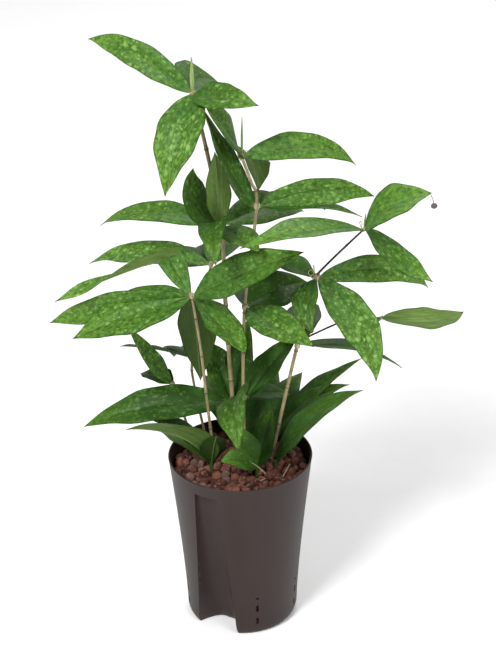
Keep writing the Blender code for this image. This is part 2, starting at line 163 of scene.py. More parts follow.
CANES = {
    "cane_tall": (2.5, 1.9, [
        (-2, 20, 175), (-7, 17, 243), (-12, 13, 350), (-15, 10, 447), (-26, 5, 520), (-39, 0, 588),
    ]),
    "cane_front": (2.1, 1.5, [
        (5, -10, 175), (4, -8, 260), (7, -5, 363), (20, 0, 471), (15, 0, 497), (7, 0, 521),
    ]),
    "cane_left": (1.7, 1.4, [
        (-26, 0, 175), (-32, -8, 245), (-38, -12, 320), (-45, -14, 378),
    ]),
    "cane_back_left": (1.5, 1.2, [
        (-34, 38, 175), (-47, 40, 250), (-48, 38, 283), (-38, 34, 340), (-27, 30, 391),
    ]),
    "cane_short": (1.5, 1.3, [
        (-44, 28, 175), (-58, 34, 215), (-68, 38, 249),
    ]),
    "cane_right": (2.2, 1.6, [
        (31, 3, 175), (44, 2, 240), (60, 0, 317), (71, -5, 355), (78, -10, 394),
    ]),
    "branch_upper": (1.2, 1.0, [
        (79.5, -11, 402), (92, -13, 417), (108, -17, 436), (122, -20, 452),
    ]),
    "branch_side": (1.0, 0.9, [
        (63.6, 0.6, 321.8), (94, 12, 331), (120, 28, 333), (144, 40, 325),
    ]),
}
BROWN_CANES = ("branch_upper", "branch_side")

# Each whorl: its cane, the point of the cane's line that it grows from, then its leaves. Each leaf:
# tone from dark to pale, how thickly it is spotted, turn, rise, length, droop, width, roll, swing.
# The tone is partly the leaf's own colour and partly painted shade: low, inner and back leaves,
# which lie in shade among the others, are given darker tones.
# A folded leaf goes on with the share of its length at the fold, then turn, rise, droop, roll and
# twist of the rest of it.
WHORLS = {
    "whorl_tall_top": ("cane_tall", 5, [
        (0.6, 0.7, 163, 39, 132, 55, 28, -65, -34),
        (0.58, 0.95, 259, -28, 107, 50, 54, 11, -34),
        (0.5, 0.6, 301, 15, 84, 20, 32, 36, 34),
        (0.46, 0.6, 89, 3, 106, 47, 56, 25, -34),
    ]),
    "whorl_tall_middle": ("cane_tall", 3, [
        (0.6, 0.5, 170, 14, 146, 56, 32, -20, -36),
        (0.3, 0.6, 178, 31, 71, -85, 40, -18, -34),
        (0.3, 0.5, 252, 47, 90, 115, 31, 17, 31),
        (0.62, 0.5, 264, 76, 92, 0, 26, 20, -10),
        (0.72, 0.4, 295, 5, 70, 10, 38, 0, 10),
        (0.65, 0.4, 39, 6, 137, 45, 42, 28, 23),
    ]),
    "whorl_tall_low": ("cane_tall", 1, [
        (0.15, 0.6, 125, 64, 64, 20, 42, 0, 0),
        (0.1, 0.7, 192, 8, 158, 40, 46, -24, -24),
        (0.08, 0.5, 65, 68, 85, 10, 32, 0, 0),
    ]),
    "whorl_front_top": ("cane_front", 5, [
        (0.92, 0.45, 5, 16, 132, 65, 31, 41, 34),
        (0.85, 0.3, 75, -10, 85, 88, 39, 19, -9),
        (0.5, 0.5, 227, 64, 74, 12, 51, -32, -34),
    ]),
    "whorl_front_upper": ("cane_front", 3, [
        (0.56, 0.85, -8, 26, 121, 56, 31, 85, 34),
        (0.5, 0.4, -2, 4, 112, 38, 32, -2, 34),
        (0.32, 0.7, 189, 60, 124, -12, 37, -41, 30),
        (0.4, 0.4, 42, 0, 100, 45, 38, 0, 0),
    ]),
    "whorl_front_middle": ("cane_front", 2, [
        (0.5, 0.75, 305, 2, 100, 9, 38, 24, 10),
        (0.2, 0.5, 45, 10, 90, 30, 46, 30, 0),
        (0.15, 0.4, 85, 10, 110, 50, 40, 0, 0),
    ]),
    "whorl_front_low": ("cane_front", 1, [
        (0.24, 0.65, 251, 48, 112, 115, 45, 43, 34),
        (0.08, 0.4, 30, 48, 84, 15, 40, 0, 0),
        (0.08, 0.3, 34, 0, 58, 35, 32, 10, 0),
    ]),
    "whorl_left_top": ("cane_left", 3, [
        (0.7, 0.6, 180, -7, 163, 24, 34, -85, -34),
        (0.7, 0.55, 186, -14, 126, 12, 60, -20, -6),
        (0.8, 0.5, 138, 50, 180, 0, 36, -20, 0, 0.25, 188, -14, 10, 46, -140),
        (0.54, 0.35, 338, 36, 132, 14, 42, 45, 6),
        (0.68, 0.5, 336, -43, 81, -28, 50, -10, -34),
        (0.1, 0.3, 80, -70, 118, 10, 40, 0, 0),
    ]),
    "whorl_back_left_top": ("cane_back_left", 4, [
        (0.7, 0.85, 158, 6, 158, 42, 36, -20, -20),
        (0.4, 0.5, 105, 5, 110, 60, 42, 0, 0),
        (0.4, 0.5, 70, 15, 100, 60, 42, 0, 0),
    ]),
    "whorl_back_left_middle": ("cane_back_left", 2, [
        (0.2, 0.2, 148, 2, 90, 20, 22, 31, 0),
        (0.15, 0.3, 105, -5, 95, 50, 40, 0, 0),
    ]),
    "whorl_short_top": ("cane_short", 2, [
        (0.6, 0.7, 186, 58, 89, -3, 20, -65, 34),
        (0.1, 0.3, 141, 15, 45, 40, 30, 0, 0),
    ]),
    "whorl_right_middle": ("cane_right", 2, [
        (0.3, 0.3, 0, 0, 116, 44, 32, -6, 20),
        (0.35, 0.4, 80, 25, 85, 50, 38, 0, 0),
    ]),
    "whorl_right_top": ("cane_right", 4, [
        (1.0, 0.75, 13, 9, 149, 61, 29, 62, 34),
        (0.56, 0.95, 334, -37, 130, 53, 39, 66, 34),
        (0.5, 0.8, 232, -39, 66, 100, 43, 23, 7),
        (0.3, 0.5, 132, 5, 112, 44, 30, -7, -34),
    ]),
    "whorl_branch_upper": ("branch_upper", 3, [
        (0.84, 0.55, 225, 24, 144, 39, 48, 0, -29),
        (0.9, 0.15, -20, 58, 79, 60, 55, 14, 34),
        (0.55, 0.7, 355, -50, 86, -40, 38, 8, -34),
    ]),
    "whorl_branch_side": ("branch_side", 3, [
        (0.75, 0.1, -15, 0, 100, -40, 37, -60, -34),
        (0.4, 0.2, 120, -40, 44, 20, 26, 0, 0),
    ]),
}

# Rolled new leaves that stand on a whorl: (turn, rise, length, girth)
BUDS = {
    "whorl_tall_top": (95, 80, 34, 2.3),
    "whorl_front_top": (80, 85, 40, 1.2),
    "whorl_branch_upper": (60, 80, 16, 1.1),
}

# Length of the dry sheath round a joint, where it isn't the usual one
SHEATHS = {
    "whorl_tall_top": 3, "whorl_front_top": 7, "whorl_front_upper": 6, "whorl_right_top": 7,
    "whorl_right_middle": 9, "whorl_branch_upper": 6, "whorl_branch_side": 2,
}

# Loops of dry sheath that stand up from a joint: (turn, height) of each
DRY_CURLS = {
    "whorl_right_top": [(100, 11), (165, 8), (200, 5)],
    "whorl_front_top": [(20, 6), (120, 7), (230, 5)],
    "whorl_front_upper": [(300, 5)],
    "whorl_branch_upper": [(120, 7)],
    "whorl_left_top": [(290, 4)],
}

# The leaf of a whorl with a dried flower hanging at its end
DRIED_FLOWERS = {"whorl_branch_upper": 1}

# Each basal shoot: where its stalk stands in the granules, then its leaves as above; their dark
# tones are painted shade at the foot of the plant
SHOOTS = {
    "shoot_left": ((-30, -6), [
        (0.35, 0.1, 211, 63, 110, 72, 58, 41, -34),
        (0.1, 0.2, 170, 60, 100, 60, 32, 0, 0),
        (0.05, 0.2, 285, 72, 52, 20, 30, 0, 0),
    ]),
    "shoot_front": ((17, -18), [
        (0.25, 0.3, 206, 56, 48, 70, 26, -45, 0),
        (0.0, 0.2, 45, 74, 66, 10, 36, 0, 0),
        (0.15, 0.3, 165, 72, 52, 20, 28, -50, 0),
    ]),
    "shoot_right": ((36, -10), [
        (0.2, 0.12, 20, 59, 122, 49, 41, -2, -8),
    ]),
    "shoot_right_back": ((26, 24), [
        (0.1, 0.1, 15, 60, 115, 60, 32, 10, 0),
        (0.3, 0.1, 25, 50, 140, 35, 30, 0, 0),
        (0.05, 0.1, 60, 55, 100, 55, 36, 0, 0),
    ]),
    "shoot_back": ((4, 42), [
        (0.02, 0.1, 120, 40, 92, 35, 46, 0, 0),
        (0.02, 0.1, 60, 45, 90, 35, 42, 0, 0),
    ]),
}
SHOOT_RADIUS = 2.6
SHOOT_TOP = 186

# Dry stalks in the granules: where each stands, its turn, rise and length
DRY_STALKS = (
    ((38, -31), 20, 62, 26),
    ((33, -25), 150, 55, 38),
    ((12, -8), 40, 70, 30),
    ((-14, -14), 250, 60, 24),
    ((8, -33), 330, 48, 22),
)

# Soft lights: place, target and size in metres, and power
LIGHTS = {
    "key_light": ((-1.3, -1.9, 2.7), (0, 0, 0.35), 1.1, 105),
    "fill_light": ((1.6, -2.2, 1.7), (0, 0, 0.3), 1.6, 40),
    "back_light": ((0.4, 2.0, 2.4), (0, 0, 0.4), 1.6, 34),
}
AIR_STRENGTH = 0.38
FLOOR_REACH = 8.0

# Camera: metres from the rim's centre, degrees above it, degrees that it turns right, down and over,
# and its focal length in pixels of a photograph of this height
CAMERA_DISTANCE = 2.2
CAMERA_RISE = 31.2
CAMERA_TURN = (0.302, 27.827, -0.8)
FOCAL_PIXELS = 2110
PHOTO_HEIGHT = 657
SENSOR = 36

# Places of the finishes on a piece with leaves
UPPER, UNDER, YOUNG, PAPERY = range(4)


# Finishes

def paint(red, green, blue):
    """A colour written as on a screen, from 0 to 255, as the light it gives back."""
    light = []
    for level in (red, green, blue):
        share = level / 255
        light.append(share / 12.92 if share <= 0.04045 else ((share + 0.055) / 1.055) ** 2.4)
    return (*light, 1.0)


class Signal:
    """A number or colour that varies over a surface, for use in plain sums."""

    def __init__(self, finish, socket):
        self.finish = finish
        self.socket = socket

    def sum(self, operation, *terms):
        return self.finish.add("ShaderNodeMath", {"operation": operation}, dict(enumerate(terms)))[0]

    def __add__(self, other):
        return self.sum("ADD", self, other)

    def __sub__(self, other):
        return self.sum("SUBTRACT", self, other)

    def __rsub__(self, other):
        return self.sum("SUBTRACT", other, self)

    def __mul__(self, other):
        return self.sum("MULTIPLY", self, other)

    __radd__ = __add__
    __rmul__ = __mul__

    def __abs__(self):
        return self.sum("ABSOLUTE", self)

    def fraction(self):
        return self.sum("FRACT", self)

    def step(self, low, high):
        """0 below low, 1 above high and a smooth rise between them."""
        settings = {"interpolation_type": "SMOOTHSTEP"}
        return self.finish.add("ShaderNodeMapRange", settings, {"Value": self, 1: low, 2: high})[0]


class Made:
    """The outlets of one node, by name or number."""

    def __init__(self, finish, node):
        self.finish = finish
        self.node = node

    def __getitem__(self, outlet):
        return Signal(self.finish, self.node.outputs[outlet])


class Finish:
    """A material whose pattern is worked out from sums and textures."""

    def __init__(self, name, **constants):
        self.material = bpy.data.materials.new(name)
        self.material.use_nodes = True
        self.tree = self.material.node_tree
        self.shader = self.tree.nodes["Principled BSDF"]
        for socket, value in constants.items():
            title = socket.replace("_", " ").title().replace("Ior", "IOR")
            self.shader.inputs[title].default_value = value

    def add(self, kind, settings=None, sockets=None):
        """A node of a kind, with its settings set first and then its sockets."""
        node = self.tree.nodes.new(kind)
        for name, value in (settings or {}).items():
            setattr(node, name, value)
        for name, value in (sockets or {}).items():
            self.feed(node.inputs[name], value)
        return Made(self, node)

    def vector(self, operation, first, second):
        """Vector Math of two places, or of a place and a number that scales it."""
        sockets = {0: first, "Scale" if operation == "SCALE" else 1: second}
        return self.add("ShaderNodeVectorMath", {"operation": operation}, sockets)[0]

    def feed(self, socket, value):
        if isinstance(value, Signal):
            self.tree.links.new(value.socket, socket)
        else:
            socket.default_value = value

    def mark(self, name):
        """A value kept on the points of the mesh."""
        return self.add("ShaderNodeAttribute", {"attribute_name": name})["Fac"]

    def place(self, x, y, z):
        return self.add("ShaderNodeCombineXYZ", None, {0: x, 1: y, 2: z})[0]

    def position(self):
        return self.add("ShaderNodeTexCoord")["Object"]

    def stir(self, place, scale, amount):
        """The same place, pushed about by a soft pattern."""
        sockets = {"Vector": place, "Scale": scale, "Detail": 1.0}
        push = self.add("ShaderNodeTexNoise", None, sockets)["Color"]
        centred = self.vector("SUBTRACT", push, (0.5, 0.5, 0.5))
        return self.vector("ADD", place, self.vector("SCALE", centred, amount))

    def cloud(self, place, scale, detail=3.0, rough=0.55):
        sockets = {"Vector": place, "Scale": scale, "Detail": detail, "Roughness": rough}
        return self.add("ShaderNodeTexNoise", None, sockets)["Fac"]

    def cells(self, place, scale):
        """Distance from the nearest of many scattered centres, and a number of each centre's own."""
        made = self.add("ShaderNodeTexVoronoi", {"feature": "F1"}, {"Vector": place, "Scale": scale})
        own = self.add("ShaderNodeSeparateColor", None, {0: made["Color"]})[0]
        return made["Distance"], own

    def mix(self, share, below, above):
        settings = {"data_type": "RGBA", "clamp_factor": True}
        return self.add("ShaderNodeMix", settings, {0: share, 6: below, 7: above})[2]

    def layers(self, ground, *layers):
        """A ground colour with others laid over it in turn, each by its own share."""
        for share, colour in layers:
            ground = self.mix(share, ground, colour)
        return ground

    def bump(self, height, strength, distance, under=None):
        """Relief of a height, on top of the relief under it."""
        sockets = {"Height": height, "Strength": strength, "Distance": distance}
        if under:
            sockets["Normal"] = under
        return self.add("ShaderNodeBump", None, sockets)[0]

    def coat(self, **sockets):
        """Feeds the shader what changes over the surface, and gives the material."""
        for name, value in sockets.items():
            self.feed(self.shader.inputs[name.replace("_", " ").title()], value)
        return self.material


# Coarse and fine spots: how close they lie, their size, their number and their brightness
SPOTS = ((1.9, 0.40, 0.7, 1.0), (3.4, 0.42, 1.0, 0.6))


def gold_dust(finish, place, share, dust):
    """Scattered pale spots, more of them towards the tip: a soft halo and a lighter middle."""
    stirred = finish.stir(place, 2.6, 0.3)
    crowd = dust * (0.55 + 0.6 * share.step(0.0, 0.6)) + 0.6 * (finish.cloud(place, 0.8, 2.0) - 0.5)
    halo, middle = 0.0, 0.0
    for scale, size, amount, strength in SPOTS:
        distance, own = finish.cells(stirred, scale)
        reach = size * (crowd * amount - own).step(-0.05, 0.5)
        bright = strength * (1 - 0.75 * (own * 7.0).fraction())
        halo = halo + (reach * 2.0 - distance).step(0.0, 0.45)
        middle = middle + (reach - distance).step(-0.12, 0.2) * bright
    return halo, middle


def leaf_marks(finish, count=6):
    """The first few marks of a leaf's points: the place across and along it in centimetres, the
    share of its length, its tone, the nearness to its edge, and how thickly it is spotted."""
    names = ("side", "reach", "share", "tone", "edge", "dust")
    return [finish.mark("leaf_" + name) for name in names[:count]]


def leaf_upper():
    """Upper face: streaked and blotched green with pale spots, a thin vein and dark edges, and
    bluish painted sheen in broad patches and towards the stalk.
    """
    finish = Finish("leaf_upper_gloss", specular_ior_level=0.13, coat_roughness=0.4)
    side, reach, share, tone, edge, dust = leaf_marks(finish)
    place = finish.place(side, reach * 0.8, tone * 40.0)
    strands = finish.cloud(finish.place(side * 10.0, reach * 0.35, tone * 40.0), 1.0, 3.0, 0.6)
    sheen_blotch = finish.cloud(place, 0.7, 3.0)
    halo, middle = gold_dust(finish, place, share, dust)
    mottle = finish.cloud(place, 2.6, 4.0, 0.65)
    vein = 1 - abs(side).step(0.015, 0.075)
    # The ground goes from dark to pale green with the leaf's tone; the darkest tones are painted shade on
    # low and inner leaves
    green = finish.layers(
        finish.mix(tone, paint(26, 54, 8), paint(86, 126, 46)),
        # painted bluish sheen in broad patches
        ((sheen_blotch - 0.45).step(0.0, 0.3) * 0.5, paint(66, 110, 50)),
        # painted bluish sheen towards the stalk, stronger on pale leaves
        ((1 - share.step(0.1, 0.5)) * 0.3 * tone, paint(50, 98, 56)),
        (share.step(0.5, 1.0) * (0.2 + 0.4 * sheen_blotch), paint(94, 138, 30)),
        ((0.52 - mottle).step(0.0, 0.16) * 0.7, paint(38, 76, 14)),
        ((mottle - 0.52).step(0.0, 0.16) * 0.65 * tone, paint(114, 156, 60)),
        ((0.52 - strands).step(0.0, 0.3) * 0.4, paint(26, 58, 12)),
        (halo * 0.4 * (0.25 + 0.75 * tone), paint(102, 146, 52)),
        (middle * (0.15 + 0.65 * tone), paint(152, 188, 112)),
        (vein * (0.75 - dust) * (0.2 + 0.8 * tone), paint(122, 136, 86)),
        (edge.step(0.88, 1.0) * 0.6, paint(24, 50, 10)),
        ((1 - share.step(0.0, 0.05)) * 0.6, paint(112, 124, 68)),
        (share.step(0.955, 0.98), paint(64, 52, 32)),
    )
    gloss = 0.38 + 0.22 * finish.cloud(place, 1.3, 4.0)
    ribs = finish.bump(strands, 0.4, 0.5 * MM)
    pores = finish.bump(finish.cloud(place, 14.0, 2.0), 0.12, 0.2 * MM, ribs)
    return finish.coat(base_color=green, roughness=gloss, coat_weight=0.12 * sheen_blotch, normal=pores)


def leaf_under():
    """Underside: duller and paler, with fine streaks and only faint spots."""
    finish = Finish("leaf_underside_dull", specular_ior_level=0.13)
    side, reach, share, tone, edge, dust = leaf_marks(finish)
    place = finish.place(side, reach * 0.8, tone * 40.0)
    strands = finish.cloud(finish.place(side * 10.0, reach * 0.3, tone * 40.0), 1.0, 3.0, 0.6)
    middle = gold_dust(finish, place, share, dust * 0.7)[1]
    shade = 0.5 - finish.cloud(place, 1.4, 3.0)
    vein = 1 - abs(side).step(0.03, 0.12)
    # The ground goes from dark to pale green with the leaf's tone; the darkest tones are painted shade on
    # low and inner leaves
    green = finish.layers(
        finish.mix(tone, paint(38, 60, 20), paint(114, 144, 70)),
        ((strands - 0.5).step(0.0, 0.2) * 0.8 * tone, paint(142, 168, 102)),
        ((0.46 - strands).step(0.0, 0.15) * 0.45, paint(62, 92, 36)),
        (shade.step(0.0, 0.3) * 0.5, paint(50, 74, 32)),
        (middle * 0.25 * tone, paint(134, 154, 100)),
        (vein * 0.5, paint(122, 136, 88)),
        (edge.step(0.86, 1.0) * 0.6, paint(32, 52, 20)),
        (share.step(0.955, 0.98), paint(66, 54, 34)),
    )
    ribs = finish.bump(strands + vein * 1.2, 0.4, 0.5 * MM)
    return finish.coat(base_color=green, roughness=0.55 + 0.15 * strands, normal=ribs)


def young_green():
    """Rolled new leaves: pale green, streaked along their length."""
    finish = Finish("young_leaf")
    side, reach, share, tone = leaf_marks(finish, 4)
    streak = finish.cloud(finish.place(side * 16.0, reach * 0.5, tone * 30.0), 1.0, 3.0)
    green = finish.mix(streak.step(0.35, 0.65), paint(88, 118, 48), paint(146, 162, 104))
    green = finish.mix(share.step(0.7, 1.0) * 0.7, green, paint(94, 84, 70))
    ribs = finish.bump(streak, 0.4, 0.3 * MM)
    return finish.coat(base_color=green, roughness=0.42 + 0.1 * streak, normal=ribs)


def papery_sheath():
    """Dry leaf bases round the joints: cream at the foot, pinkish brown at the torn edge, and
    grey where a share past the end marks a withered flower or stalk."""
    finish = Finish("papery_sheath", specular_ior_level=0.3)
    side, reach, share, tone = leaf_marks(finish, 4)
    fibre = finish.cloud(finish.place(side * 9.0, reach * 1.2, tone * 30.0), 1.6, 4.0)
    living = finish.cloud(finish.place(side, reach, tone * 9.0), 3.0) - 0.5
    cream = finish.layers(
        finish.mix(fibre.step(0.3, 0.7), paint(128, 126, 84), paint(186, 182, 152)),
        (share.step(0.55, 1.0) * 0.6, paint(140, 116, 96)),
        (share.step(1.2, 1.8) * 0.9, paint(84, 76, 78)),
        (living.step(0.05, 0.2) * 0.5, paint(90, 104, 52)),
    )
    ribs = finish.bump(fibre, 0.6, 0.4 * MM)
    return finish.coat(base_color=cream, roughness=0.62 + 0.2 * fibre, normal=ribs)


def cane_bark(name, pale, dark, ring):
    """Fibrous bark with dark patches, darker low on some canes and round the ring-shaped scars."""
    finish = Finish(name, specular_ior_level=0.4)
    side, reach, joint = [finish.mark("cane_" + name) for name in ("side", "reach", "joint")]
    fibres = finish.cloud(finish.place(side * 7.0, reach * 0.5, 0.0), 1.5, 4.0)
    patches = finish.cloud(finish.place(side * 0.8, reach, 3.0), 0.8, 3.0)
    foot = (1 - reach.step(4.0, 13.0)) * (0.45 + 0.5 * (patches - 0.4).step(0.0, 0.2))
    colour = finish.layers(
        finish.mix(fibres.step(0.3, 0.7), dark, pale),
        (patches.step(0.5, 0.66) * 0.75, dark),
        (foot, ring),
        (joint.step(0.25, 0.9) * 0.85, ring),
    )
    ribs = finish.bump(fibres, 0.5, 0.3 * MM)
    return finish.coat(base_color=colour, roughness=0.46 + 0.2 * patches, normal=ribs)


def baked_clay():
    """Burst clay: a brown crust with open pores, paler where it is rubbed."""
    finish = Finish("baked_clay_granules", specular_ior_level=0.2)
    place = finish.position()
    tone = finish.mark("granule_tone")
    grain = finish.cloud(place, 900.0, 4.0, 0.65)
    crust = finish.cloud(place, 240.0, 3.0)
    distance, own = finish.cells(place, 700.0)
    pore = 1 - (distance + 0.25 * own).step(0.18, 0.42)
    # The clay goes from dark to pale with the granule's tone; the bed under the granules has tone 0, the
    # darkest, as painted shade in the gaps between them and behind the slits
    clay = finish.layers(
        finish.mix(tone, paint(50, 24, 17), paint(124, 77, 62)),
        ((tone - 0.93).step(0.0, 0.03) * 0.7, paint(88, 76, 68)),
        ((crust - 0.48).step(0.0, 0.2) * 0.55, paint(146, 112, 102)),
        ((0.5 - grain).step(0.0, 0.2) * 0.5, paint(40, 22, 16)),
        (pore * 0.6, paint(28, 16, 12)),
    )
    rough = finish.bump(grain + crust, 0.9, 1.0 * MM)
    pitted = finish.bump(1 - pore, 0.8, 0.8 * MM, rough)
    return finish.coat(base_color=clay, roughness=0.84 + 0.12 * grain, normal=pitted)


def moulded_plastic():
    """Brown-grey plastic with a fine grain, faint flow marks and a little dust."""
    finish = Finish("brown_grey_plastic_moulded", specular_ior_level=0.24)
    place = finish.position()
    grain = finish.cloud(place, 1500.0, 2.0)
    flow = finish.cloud(finish.vector("MULTIPLY", place, (40.0, 40.0, 9.0)), 1.0, 4.0)
    dust = finish.cloud(place, 190.0, 5.0, 0.7)
    colour = finish.mix(flow.step(0.3, 0.7), paint(45, 35, 32), paint(50, 39, 36))
    colour = finish.mix(dust.step(0.6, 0.8) * 0.25, colour, paint(74, 64, 60))
    gloss = 0.42 + 0.12 * flow + 0.12 * dust.step(0.55, 0.8)
    texture = finish.bump(grain, 0.2, 0.15 * MM)
    waves = finish.bump(flow, 0.15, 1.5 * MM, texture)
    return finish.coat(base_color=colour, roughness=gloss, normal=waves)


# Meshes

def new_object(name, data):
    made = bpy.data.objects.new(name, data)
    bpy.context.scene.collection.objects.link(made)
    return made


class Mould:
    """Collects the points and faces of one piece, with the marks that its finish reads."""

    def __init__(self):
        self.points = []
        self.faces = []
        self.slots = []
        self.marks = {}

    def point(self, place, **marks):
        self.points.append(tuple(place))
        for name, value in marks.items():
            self.marks.setdefault(name, {})[len(self.points) - 1] = value
        return len(self.points) - 1

    def face(self, corners, slot=0):
        self.faces.append(tuple(corners))
        self.slots.append(slot)

    def rings(self, rings, slot=0, closed=True):
        """Skins a row of equal rings of points; closed rings join their last point to their first."""
        for low, high in zip(rings, rings[1:]):
            count = len(low)
            for i in range(count if closed else count - 1):
                j = (i + 1) % count
                self.face((low[i], low[j], high[j], high[i]), slot)

    def solid(self, rings, slot=0):
        """Skins closed rings and caps both ends."""
        self.rings(rings, slot)
        self.face(reversed(rings[0]), slot)
        self.face(rings[-1], slot)

    def cast(self, name, finishes, crease=LEAF_CREASE):
        """Makes the piece; edges steeper than the crease stay sharp."""
        mesh = bpy.data.meshes.new(name)
        mesh.from_pydata(self.points, [], self.faces)
        for finish in finishes:
            mesh.materials.append(finish)
        mesh.polygons.foreach_set("material_index", self.slots)
        for mark, values in self.marks.items():
            layer = mesh.attributes.new(mark, "FLOAT", "POINT")
            layer.data.foreach_set("value", [values.get(i, 0.0) for i in range(len(self.points))])
        mesh.validate()
        mesh.shade_smooth()
        mesh.set_sharp_from_angle(angle=radians(crease))
        return new_object(name, mesh)


def place_piece(piece, slot, *nodes):
    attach(piece, "root")
    if nodes:
        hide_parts(*nodes)


def heading(turn, rise=0.0):
    """The way that a turn round the plant and a rise above level point."""
    turn, rise = radians(turn), radians(rise)
    return Vector((cos(rise) * cos(turn), cos(rise) * sin(turn), sin(rise)))


def smooth_line(points, steps=4):
    """Points on a smooth curve through the given points."""
    line = []
    last = len(points) - 1
    for i in range(last):
        before, start = points[max(i - 1, 0)], points[i]
        end, after = points[i + 1], points[min(i + 2, last)]
        for step in range(steps):
            t = step / steps
            line.append(0.5 * (2 * start + (end - before) * t
                               + (2 * before - 5 * start + 4 * end - after) * t ** 2
                               + (3 * start - before - 3 * end + after) * t ** 3))
    line.append(points[last].copy())
    return line


def tube(mould, line, radii, sides, slot, marks):
    """A round bar along a line. Its radii are a list or depend on a ring's number and an angle;
    its marks depend on a ring's number and a share of the turn."""
    rings = []
    across = Vector((1, 0, 0))
    for i, centre in enumerate(line):
        along = (line[min(i + 1, len(line) - 1)] - line[max(i - 1, 0)]).normalized()
        across = (across - along * across.dot(along)).normalized()
        other = along.cross(across)
        ring = []
        for side in range(sides):
            angle = tau * side / sides
            out = across * cos(angle) + other * sin(angle)
            radius = radii(i, angle) if callable(radii) else radii[i]
            ring.append(mould.point(centre + radius * out, **marks(i, side / sides)))
        rings.append(ring)
    mould.solid(rings, slot)


def tube_marks(tone, girth, step, first=0.0, rise=0.0):
    """Leaf marks for a tube: girth and the step between rings in centimetres, then the share of a
    leaf's length at the first ring and its rise from ring to ring."""
    def marks(i, turn):
        return {"leaf_side": turn * girth, "leaf_reach": i * step, "leaf_share": first + i * rise,
                "leaf_edge": 0.0, "leaf_tone": tone}

    return marks


# Canes

def cane_points(name):
    """The points of a cane's line; one that stands in the granules goes on below them."""
    points = [Vector(point) * MM for point in CANES[name][2]]
    if name not in BROWN_CANES:
        along = (points[1] - points[0]).normalized()
        points.insert(0, points[0] - along * BURIED * MM)
    return points


def cane_radius(name, share):
    foot, tip = CANES[name][0] * MM, CANES[name][1] * MM
    return foot + (tip - foot) * share


def cane(name, bark):
    """A cane with a raised scar at each joint and a faint bow between joints."""
    draw = Random(name)
    line = smooth_line(cane_points(name), 24)
    lengths = [0.0]
    for before, after in zip(line, line[1:]):
        lengths.append(lengths[-1] + (after - before).length)
    total = lengths[-1]
    joints = [RING_SPACING * MM * i for i in range(1, int(total / MM / RING_SPACING) + 1)]
    stops = [total * i / CANE_STATIONS for i in range(CANE_STATIONS + 1)]
    for joint in joints:
        stops += [joint + offset * MM for offset in RING_OFFSETS]
    stops = sorted(stop for stop in stops if 0 <= stop <= total)
    stops = [stop for i, stop in enumerate(stops) if i == 0 or stop - stops[i - 1] > STATION_GAP * MM]
    places, radii, swells = [], [], []
    for stop in stops:
        i = max(k for k in range(len(lengths) - 1) if lengths[k] <= stop)
        places.append(line[i].lerp(line[i + 1], (stop - lengths[i]) / (lengths[i + 1] - lengths[i])))
        nearest = min((abs(stop - joint) for joint in joints), default=1.0) / MM
        swell = exp(-(nearest / RING_WIDTH) ** 2)
        swells.append(swell)
        slim = 1 - CANE_BOW + CANE_BOW * cos(tau * stop / MM / RING_SPACING)
        radii.append(cane_radius(name, stop / total) * slim * (1 + (RING_SWELL - 1) * swell))
    shift = draw.uniform(0, 40)

    def marks(i, turn):
        girth = sin(tau * turn) * 0.5
        return {"cane_side": girth + shift, "cane_reach": stops[i] / CM + shift, "cane_joint": swells[i]}

    mould = Mould()
    tube(mould, places, radii, CANE_SIDES, 0, marks)
    slot = "brown_branch" if name in BROWN_CANES else "tan_cane"
    place_piece(mould.cast(name + "_bark", [bark]), slot, name)


# Leaves

def blade_width(share, width):
    """Width of a leaf at a share of its length: a short stalk, a broad middle, a drawn-out tip."""
    rise, fall = 0.80, 1.10
    peak = (rise / (rise + fall)) ** rise * (fall / (rise + fall)) ** fall
    broad = width * share ** rise * (1 - share) ** fall / peak
    stalk = PETIOLE_WIDTH * (1 - share) + TIP_WIDTH * share
    return max(broad, stalk)


